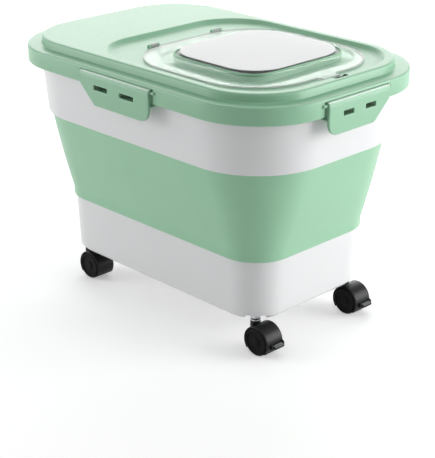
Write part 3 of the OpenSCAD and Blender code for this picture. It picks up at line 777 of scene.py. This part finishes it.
# The finger recess's faces are painted deep green: painted shade.
lid.data.materials.append(mint_painted_shade)
for face in lid.data.polygons:
    x, y, z = face.center / MM
    if RECESS_X[0] < x < RECESS_X[1] and abs(y) < RECESS_HALF and RECESS_Z[0] < z < RECESS_Z[1]:
        face.material_index = 1
join_meshes([lid, *details])
dress(lid, "lid", "mint_pp", "lid_shell")
rib_outline = grown(RING_LOW, 1.6)
rib = smooth_object("lid_locating_rib", loft_mesh("rib", stations(
    rib_outline, [(-2.0, 270.5, 0), (-2.0, 262.3, 0.6), (0, 262.3, 0.6), (0, 270.5, 0)])), mint_pp)
dress(rib, "lid", "mint_pp")
print("lid", len(lid.data.polygons), "faces")

# %% [markdown]
# ## Seals and hinge pins
# The lid's seal is a flat silicone ring with a soft rounded edge, and the cover's seal is a thin one
# on the collar. The pins are short steel wires.

# %% Seals and pins
RIM = grown(RING_LOW, 8.1)
seal = smooth_object("lid_seal_moulded", loft_mesh("seal", stations(
    RIM, [(-6, 268, 0), (-6, 266.3, 1.2), (0, 266.3, 1.2), (0, PLATE_Z, 0.6), (-6, PLATE_Z, 0.6),
          (-6, 268, 0)])), silicone)
dress(seal, "lid", "silicone", "lid_seal")
lip = smooth_object("cover_seal_moulded", loft_mesh("lip", stations(
    grown(OPENING, 2.8), [(-1.8, 283.4, 0), (-1.8, 282.5, 0.5), (0, 282.5, 0.5), (0, DOME_LOW_Z, 0.3),
                          (-1.8, DOME_LOW_Z, 0.3), (-1.8, 283.4, 0)])), mint_silicone)
dress(lip, "cover", "silicone", "cover_seal")
pins = [turned("pin", rounded([(0.01, y - 7.1, 0), (1.25, y - 7.1, 0.3), (1.25, y + 7.1, 0.3),
                               (0.01, y + 7.1, 0)]), HINGE, steel, "Y", 24) for y in HINGE_YS]
hinge_pins = join_meshes(pins)
hinge_pins.name = "hinge_pins_wire"
dress(hinge_pins, "lid", "steel", "hinge_pins")
print("seal", len(seal.data.polygons), "faces, pins", len(hinge_pins.data.polygons), "faces")

# %% [markdown]
# ## The flip cover
# The cover is a thin flange with a raised dome, a grip tab at one end and two knuckles at the other.
# Its skin is lofted as one closed shell too, so that light meets a real thickness of plastic. The
# row that a face lies in then says which of the four finishes it takes.

# %% Cover's shell
DOME_TOP = (64.5, 61.5, 67, 38)
WALL_RISE = (0.12, 0.3, 0.5, 0.7, 0.88)
CLEAR, FROSTED, DARK_RIM, DOME_WALL = range(4)
cover_middle = (64.5, 20, 24, 8)


def dome_wall(drop, grow):
    """The dome's wall from its foot to its top, steep at first and then rolling over, as it is seen."""
    foot, top = grown(DOME_FOOT, grow), grown(DOME_TOP, grow)
    return [(between(foot, top, t), FLANGE_TOP_Z - drop + 7.5 * (1 - (1 - t) ** 1.8)) for t in WALL_RISE]


under_side = [(cover_middle, DOME_LOW_Z), (grown(DOME_TOP, -3.0), DOME_LOW_Z)]
under_side += list(reversed(dome_wall(2.0, -1.0)))
under_side += [(grown(DOME_FOOT, -1.0), 277.0), (grown(DOME_FOOT, -0.7), FLANGE_Z)]
rim_side = stations(FLANGE, [(-2, FLANGE_Z, 0), (0, FLANGE_Z, 0.5), (0, 278.5, 0.5), (-0.5, FLANGE_TOP_Z, 0)])
over_side = [(grown(FLANGE, -3.0), FLANGE_TOP_Z), (grown(DOME_FOOT, 1.2), FLANGE_TOP_Z),
             (grown(DOME_FOOT, 0.3), 279.0)]
over_side += dome_wall(0.0, 0.0)
top_side = [(grown(DOME_TOP, 0.3), 286.25), (grown(DOME_TOP, -1.0), DOME_Z), (cover_middle, DOME_Z)]
cover_section = under_side + rim_side + over_side + top_side
cover_mesh = loft_mesh("cover", cover_section, closed=False)
around = len(outline_points(FLANGE))
rim_rows = range(len(under_side), len(under_side) + len(rim_side) - 1)
top_rows = range(len(under_side + rim_side + over_side) - 1, len(cover_section))
wall_rows = {*range(1, len(under_side) - 2), *range(top_rows.start - len(WALL_RISE), top_rows.start)}
cover = smooth_object("flip_cover_moulded", cover_mesh, cover_clear, 50)
for material in (cover_frosted, cover_rim_painted_shade, cover_wall):
    cover.data.materials.append(material)
# The rim rows take the dark tint, a painted shade.
for face in cover.data.polygons:
    row = face.index // around
    face.material_index = (DARK_RIM if row in rim_rows else FROSTED if row in top_rows
                           else DOME_WALL if row in wall_rows else CLEAR)
cover.data.polygons[around * (len(cover_section) - 1)].material_index = CLEAR
print("cover's shell", len(cover.data.polygons), "faces in", len(cover_section), "rows")

# %% [markdown]
# ## Tab and knuckles
# The grip tab and the two hinge arms are a little thinner than the flange that they join, so that no
# faces lie in one plane, which a boolean can't sort. The knuckles turn on the hinge pins.

# %% Cover's tab and knuckles
tab = prism("tab", [(150, -13.5), (161.2, -13.5), (163.2, -12.4), (164, -10.5), (164, 10.5), (163.2, 12.4),
                    (161.2, 13.5), (150, 13.5)], 276.86, 278.74, cover_clear)
soften(tab, 0.6)
tab.data.materials.append(cover_frosted)
tab.data.materials.append(cover_rim_painted_shade)
for face in tab.data.polygons:
    # The tab's side faces take the dark rim tint, a painted shade.
    face.material_index = DARK_RIM if abs(face.normal.z) < 0.5 else CLEAR
knuckles = []
arms = []
for y in HINGE_YS:
    low, high = y - KNUCKLE_HALF, y + KNUCKLE_HALF
    # The knuckles are tinted dark too, a painted shade.
    knuckles.append(turned("knuckle", rounded([(1.35, low, 0), (1.35, low, 0), (2.0, low, 0.3),
                                               (2.0, high, 0.3), (1.35, high, 0)]), HINGE, cover_rim_painted_shade, "Y", 24))
    arms.append(box_object("arm", (-40.5, low, 276.85), (-33, high, 278.7), cover_clear))
cut(cover, [tab, *arms], "UNION")
join_meshes([cover, *knuckles])
dress(cover, "cover", "clear_plastic", "flip_cover")
print("cover", len(cover.data.polygons), "faces")

# %% [markdown]
# ## A clip's plate
# A clip is a plate with a hinge barrel along its top edge, two slots, one bevelled and one round
# lower corner. The plate is a flat curve with the slots as holes: extruding and bevelling a curve
# rounds every edge, the slots' too, in one step.

# %% Clip's plate
SLOT_Z = -11
SLOT_HEIGHT = 4.8


def rounded_path(points, steps=5):
    """A closed path of (x, z, fillet radius) points, with a curve at each fillet."""
    looped = [points[-1], *points, points[0]]
    return rounded(looped, steps)[1:-1]


def slot_path(middle, width):
    """A slot's outline, run the other way round from the plate's."""
    a, low, high = width / 2, SLOT_Z - SLOT_HEIGHT / 2, SLOT_Z + SLOT_HEIGHT / 2
    return rounded_path([(middle - a, low, 0.9), (middle - a, high, 0.9), (middle + a, high, 0.9),
                         (middle + a, low, 0.9)], 3)


def clip_plate(name, side):
    """A clip's plate for the side at -Y, about its hinge axis, with its bevelled corner at -X."""
    half, slot_width, slot_offset = side["half"], side["slot_width"], side["slot_offset"]
    outer = rounded_path([(-half, -0.5, 0.5), (-half, -9.8, 7), (-half + 22, -29.8, 7), (half, -29.8, 14),
                          (half, -0.5, 0.5)], 8)
    curve = bpy.data.curves.new(name, "CURVE")
    curve.dimensions = "2D"
    curve.fill_mode = "BOTH"
    curve.extrude = 0.7
    curve.bevel_depth = 0.8
    curve.bevel_resolution = 3
    curve.offset = -0.8
    for path in (outer, slot_path(-slot_offset, slot_width), slot_path(slot_offset, slot_width)):
        spline = curve.splines.new("POLY")
        spline.points.add(len(path) - 1)
        for point, (x, z) in zip(spline.points, path):
            point.co = (x, z, 0, 1)
        spline.use_cyclic_u = True
    holder = bpy.data.objects.new(name, curve)
    bpy.context.scene.collection.objects.link(holder)
    plate = bpy.data.meshes.new_from_object(holder.evaluated_get(bpy.context.evaluated_depsgraph_get()))
    bpy.data.objects.remove(holder)
    plate.transform(Matrix.Translation((0, -2.1, 0)) @ Matrix.Rotation(math.radians(90), 4, "X"))
    return smooth_object(name, plate, mint_pp, 45)


print("a long side's slot has", len(slot_path(0, LONG_SIDE["slot_width"])), "points")

# %% [markdown]
# ## The four clips
# A barrel along the plate's top turns on the lid's rod. Behind the plate, a catch rib runs under the
# slots and two cheeks close the ends, so that the slots look dark inside. A thin bead along the
# barrel carries a pale green painted highlight, where the barrel's edge would catch the light. The
# left and front clips are mirrored.

# %% Clips
for name in ("right", "left", "front", "rear"):
    turn, side = SIDES[name]
    half = side["half"]
    clip = clip_plate("clip_" + name + "_moulded", side)
    barrel = turned("barrel", rounded([(1.6, -half, 0), (1.6, -half, 0), (3.6, -half, 0.8), (3.6, half, 0.8),
                                       (1.6, half, 0)]), (0, 0, 0), mint_pp, "X", 40)
    catch = prism("catch", [(-1.5, -14.2), (9.0, -14.2), (9.0, -15.0), (-1.5, -15.8)], -half + 8, half - 1,
                  mint_pp, "YZ")
    cheeks = [prism("cheek", [(-1.5, -2.4), (4.6, -3.9), (7.6, -5.5), (7.6, -14.6), (-1.5, -14.6)],
                    low, low + 1.1, mint_pp, "YZ") for low in (-half + 9, half - 5)]
    # The bead's pale green is a painted highlight.
    bead = turned("bead", rounded([(0.01, -half, 0), (0.6, -half, 0.4), (0.6, half, 0.4), (0.01, half, 0)]),
                  (0, -2.15, 2.55), mint_painted_highlight, "X", 20)
    join_meshes([clip, barrel, catch, *cheeks, bead])
    if name in ("left", "front"):
        clip.data.transform(Matrix.Scale(-1, 4, (1, 0, 0)))
        clip.data.flip_normals()
    pivot = Vector((0, -side["face"] - PIVOT_OUT, PIVOT_Z)) * MM
    clip.data.transform(turn_by(turn) @ Matrix.Translation(pivot))
    dress(clip, "clip_" + name, "mint_pp", "clip_" + name)
print("clips made, each", len(clip.data.polygons), "faces")

# %% [markdown]
# ## A caster's hood
# Each caster is a twin-wheel furniture caster: a hood moulded round the tops of the two wheels. The
# hood is turned as a drum about the axle, then the two wells and the open underside are cut, and its
# edges are rounded. The two front casters also get ears, between which the brake pedal is hinged.

# %% Hood
WHEEL_R = 15.0
AXLE = (11.0, 0, WHEEL_R)
PEDAL_PIVOT = (28.2, 2.5, 13.5)


def hood_shell(name):
    """The hood about the axle: a shell over the wheels, open below, with a web between them."""
    profile = rounded([(0.01, 11.4, 0), (15.0, 11.4, 0.5), (16.4, 11.4, 1.3), (16.4, -11.4, 1.3),
                       (0.01, -11.4, 0)], 4)
    shell = turned(name, profile, AXLE, black_nylon, "Y", 72)
    tools = []
    for way in (-1, 1):
        low, high = sorted((way * 4.5, way * 14))
        tools.append(turned("well", [(15.4, low), (15.4, high)], AXLE, black_nylon, "Y", 72))
    tools.append(box_object("under", (-30, -20, -20), (50, 20, 5), black_nylon))
    cut(shell, tools)
    soften(shell, 0.3, 2)
    return shell


def brake_ears():
    """Two ears on the hood that carry the pedal's trunnions."""
    made = []
    for way in (-1, 1):
        middle = PEDAL_PIVOT[1] + way * 7.75
        ear = prism("ear", [(25.0, 16.5), (27.6, 16.5), (29.6, 15.6), (30.2, 13.6), (29.8, 11.4),
                            (28.4, 10.5), (25.0, 10.5)], middle - 0.95, middle + 0.95, black_nylon, "XZ")
        soften(ear, 0.35)
        made.append(ear)
    return made


print("axle", AXLE[0], "mm from the stem along X and", AXLE[2], "mm above the floor")

# %% [markdown]
# ## Wheels, stem and pedal
# The wheels have a rounded tread and a dished face. The stem is turned steel with two sleeves, and a
# thin black ring in the groove between them is painted shade for the groove. The pedal is a small
# wedge with ribs across its tread, and a trunnion that turns in the hood's ears.

# %% Wheels, stem and pedal
def wheel_pair(name):
    """Two wheels with a rounded tread, a dished face, a hub and a shallow step."""
    made = []
    for way in (-1, 1):
        inner, outer = way * 4.8, way * 11.8
        dish, hub, step = outer - way * 0.9, outer - way * 0.05, outer - way * 0.25
        profile = [(2.05, inner, 0), (14.6, inner, 0.6), (WHEEL_R, inner + way * 1.5, 1.0),
                   (WHEEL_R, outer - way * 1.6, 1.4), (13.6, outer, 0.8), (11.4, outer, 0.4),
                   (11.0, dish, 0.4), (4.4, dish, 0.4), (4.0, hub, 0.4), (0.01, hub, 0), (0.01, step, 0),
                   (2.05, step, 0), (2.05, inner, 0)]
        made.append(turned("wheel", rounded(profile, 4), AXLE, tread_nylon, "Y", 72))
    wheels = join_meshes(made)
    wheels.name = name
    return wheels


def caster_stem(name):
    """The steel stem over the origin, with its two sleeves and a black ring between them, painted
    shade for the groove.
    """
    stem = turned(name, rounded([
        (0.01, 16.0, 0), (3.5, 16.0, 0.6), (3.5, 32.8, 0), (5.2, 32.9, 0.4), (5.2, 34.3, 0.4), (3.5, 34.3, 0),
        (3.5, 35.6, 0), (5.2, 35.6, 0.4), (5.2, UNDER_Z, 0.4), (3.5, UNDER_Z, 0), (3.5, 52.0, 0.8),
        (0.01, 52.0, 0)]), (0, 0, 0), steel, "Z", 40)
    # The black ring in the groove is painted shade.
    washer = turned("washer", rounded([(3.4, 34.3, 0), (3.4, 34.3, 0), (4.9, 34.3, 0.2), (4.9, 35.6, 0.2),
                                       (3.4, 35.6, 0), (3.4, 34.3, 0)]), (0, 0, 0), black_nylon, "Z", 40)
    return join_meshes([stem, washer])


def brake_pedal(name):
    """The pedal about its pivot, with four ribs along its slope."""
    pedal = prism(name, [(-1.5, 0.4), (-0.6, 1.4), (0.4, 1.5), (4.0, -0.6), (4.2, -1.6), (3.6, -2.6),
                         (0, -1.5), (-1.1, -1.0)], -6.5, 6.5, black_nylon, "XZ")
    soften(pedal, 0.3)
    ribs = []
    for i in range(4):
        rib_x = 0.7 + 0.85 * i
        top = 1.75 - 0.58 * (rib_x - 0.4)
        # The ribs' pale grey finish is a painted highlight.
        rib = box_object("rib", (rib_x - 0.22, -5.8, top - 1.0), (rib_x + 0.22, 5.8, top), rib_nylon_painted_highlight)
        soften(rib, 0.12, 2)
        ribs.append(rib)
    trunnion = turned("trunnion", [(0.98, -8.4), (0.98, 8.4)], (0, 0, 0), black_nylon, "Y", 24)
    return join_meshes([pedal, *ribs, trunnion])


print("wheels", 2 * WHEEL_R, "mm across")

# %% [markdown]
# ## The four casters
# Every caster is built over the origin, at its stem's axis, and moved to its corner. All of them
# point the same way, as they do after the bin has been pulled along.

# %% Casters
for corner, (sx, sy) in CORNERS.items():
    place = Matrix.Translation(Vector((sx * STEM_X, sy * STEM_Y, 0)) * MM)
    hood = hood_shell("hood_" + corner + "_moulded")
    neck = turned("neck", rounded([(3.6, 26.0, 0), (5.3, 14.0, 0), (5.3, 32.6, 0.8), (3.6, 32.6, 0.4),
                                   (3.6, 26.0, 0)]), (0, 0, 0), black_nylon, "Z", 40)
    join_meshes([hood, neck, *(brake_ears() if sx > 0 else [])])
    wheels = wheel_pair("wheels_" + corner + "_moulded")
    axle = turned("axle_" + corner + "_turned", rounded([(0.01, -11.5, 0), (2.0, -11.5, 0.5),
                                                         (2.0, 11.5, 0.5), (0.01, 11.5, 0)]), AXLE, steel,
                  "Y", 32)
    stem = caster_stem("stem_" + corner + "_turned")
    for piece in (hood, wheels, axle, stem):
        piece.data.transform(place)
    dress(hood, "caster_" + corner, "black_nylon", "hood_" + corner)
    dress(wheels, "wheels_" + corner, "black_nylon", "wheels_" + corner)
    dress(axle, "caster_" + corner, "steel", "axle_" + corner)
    dress(stem, "base", "steel", "stem_" + corner)
    if sx > 0:
        pedal = brake_pedal("pedal_" + corner + "_moulded")
        pedal.data.transform(place @ Matrix.Translation(Vector(PEDAL_PIVOT) * MM))
        dress(pedal, "pedal_" + corner, "black_nylon", "pedal_" + corner)
print("casters made, each wheel pair", len(wheels.data.polygons), "faces")

# %% [markdown]
# ## Floor and world
# The photograph has a pale ground all round, so the floor is a large pale sheet. For rays from the
# camera, and for what glass and gloss show, it and the world are white, and everything else sees a
# plain grey studio. A ray that has already bounced off a matt face sees the grey too, so what lies
# under the clear cover isn't lit by the white. Far from the bin, where the lamps hardly reach, the
# sheet is shown whiter, so it has no visible end.

# %% Floor and world
def white_rays(tree):
    """1 for the camera, transmission and glossy rays that haven't met a matt face, and 0 for others."""
    rays = add(tree, "ShaderNodeLightPath")
    direct = add(tree, "ShaderNodeMath", {"operation": "MAXIMUM"},
                 {0: (rays, "Is Camera Ray"), 1: (rays, "Is Transmission Ray")})
    every = add(tree, "ShaderNodeMath", {"operation": "MAXIMUM"},
                {0: (direct, 0), 1: (rays, "Is Glossy Ray")})
    first = add(tree, "ShaderNodeMath", {"operation": "LESS_THAN", 1: 0.5}, {0: (rays, "Diffuse Depth")})
    return add(tree, "ShaderNodeMath", {"operation": "MULTIPLY"}, {0: (every, 0), 1: (first, 0)})


floor_mesh = bpy.data.meshes.new("floor")
floor_mesh.from_pydata([(-8, -8, 0), (8, -8, 0), (8, 8, 0), (-8, 8, 0)], [], [(0, 1, 2, 3)])
floor = bpy.data.objects.new("studio_floor", floor_mesh)
bpy.context.scene.collection.objects.link(floor)
paper, tree, shader = new_material("studio_paper_white")
shader.inputs["Base Color"].default_value = linear("f7f7f7")
shader.inputs["Roughness"].default_value = 0.9
shader.inputs["Specular IOR Level"].default_value = 0.1
spot = add(tree, "ShaderNodeTexCoord")
away = add(tree, "ShaderNodeVectorMath", {"operation": "LENGTH"}, {0: (spot, "Object")})
fade = add(tree, "ShaderNodeMapRange", {"interpolation_type": "SMOOTHSTEP", 1: 0.55, 2: 2.2, 3: 0.34, 4: 1.0},
           {0: (away, "Value")})
seen = add(tree, "ShaderNodeMath", {"operation": "MULTIPLY"}, {0: (white_rays(tree), 0), 1: (fade, 0)})
tree.links.new(seen.outputs[0], shader.inputs["Emission Strength"])
shader.inputs["Emission Color"].default_value = (1, 1, 1, 1)
floor_mesh.materials.append(paper)

world = bpy.data.worlds.new("studio")
bpy.context.scene.world = world
world.use_nodes = True
tree = world.node_tree
tree.nodes.clear()
plain = add(tree, "ShaderNodeBackground", {"Color": (1, 1, 1, 1), "Strength": 0.26})
white = add(tree, "ShaderNodeBackground", {"Color": (1, 1, 1, 1), "Strength": 1.0})
mixed = add(tree, "ShaderNodeMixShader", {}, {0: (white_rays(tree), 0), 1: (plain, 0), 2: (white, 0)})
add(tree, "ShaderNodeOutputWorld", {}, {0: (mixed, 0)})
print("made", floor.name, "and world", world.name)

# %% [markdown]
# ## Lamps
# The photograph was lit by soft boxes to the left and the right. Each is an area lamp, placed by its
# azimuth and elevation. The box at the back stands where the lid mirrors it to the camera, and gives
# the lid its broad glare, and a small one overhead fills the rest.

# %% Lamps
def soft_box(name, azimuth, elevation, distance, size, power):
    """A square area lamp that looks at the bin's middle. Azimuth 0 is in front of its long side."""
    lamp = bpy.data.lights.new(name, "AREA")
    lamp.size = size
    lamp.energy = power
    holder = bpy.data.objects.new(name, lamp)
    a, e = math.radians(azimuth), math.radians(elevation)
    back = Vector((math.sin(a) * math.cos(e), -math.cos(a) * math.cos(e), math.sin(e)))
    holder.location = Vector((0, 0, 0.15)) + back * distance
    holder.rotation_mode = "QUATERNION"
    holder.rotation_quaternion = back.to_track_quat("Z", "Y")
    bpy.context.scene.collection.objects.link(holder)
    return holder


soft_box("right_box", 129, 11, 1.9, 1.3, 31)
soft_box("left_box", -46, 13, 2.0, 1.2, 15)
soft_box("back_box", 225.6, 24, 1.7, 1.75, 17.5)
soft_box("top_box", 40, 76, 1.7, 0.9, 3.6)
print("lamps", [lamp.name for lamp in bpy.data.lights])

# %% [markdown]
# ## Camera
# The camera stands where the photographer's did. Its angles, distance and lens come from fitting a
# perspective view to the outlines in the photograph, so they aren't round numbers.

# %% Camera
LENS = 102.72
DISTANCE = 1.43087
TARGET = Vector((3.32, 3.40, 72.38)) * MM
camera_data = bpy.data.cameras.new("camera")
camera = bpy.data.objects.new("camera", camera_data)
bpy.context.scene.collection.objects.link(camera)
camera_data.lens = LENS
camera_data.sensor_width = 36
azimuth, elevation = math.radians(45.64), math.radians(22.65)
look = Vector((math.sin(azimuth) * math.cos(elevation), -math.cos(azimuth) * math.cos(elevation),
               math.sin(elevation)))
camera.location = TARGET + look * DISTANCE
camera.rotation_mode = "QUATERNION"
camera.rotation_quaternion = (-look).to_track_quat("-Z", "Y")
bpy.context.scene.camera = camera
bpy.context.scene.view_settings.view_transform = "Standard"
print("camera at", [round(v, 3) for v in camera.location])
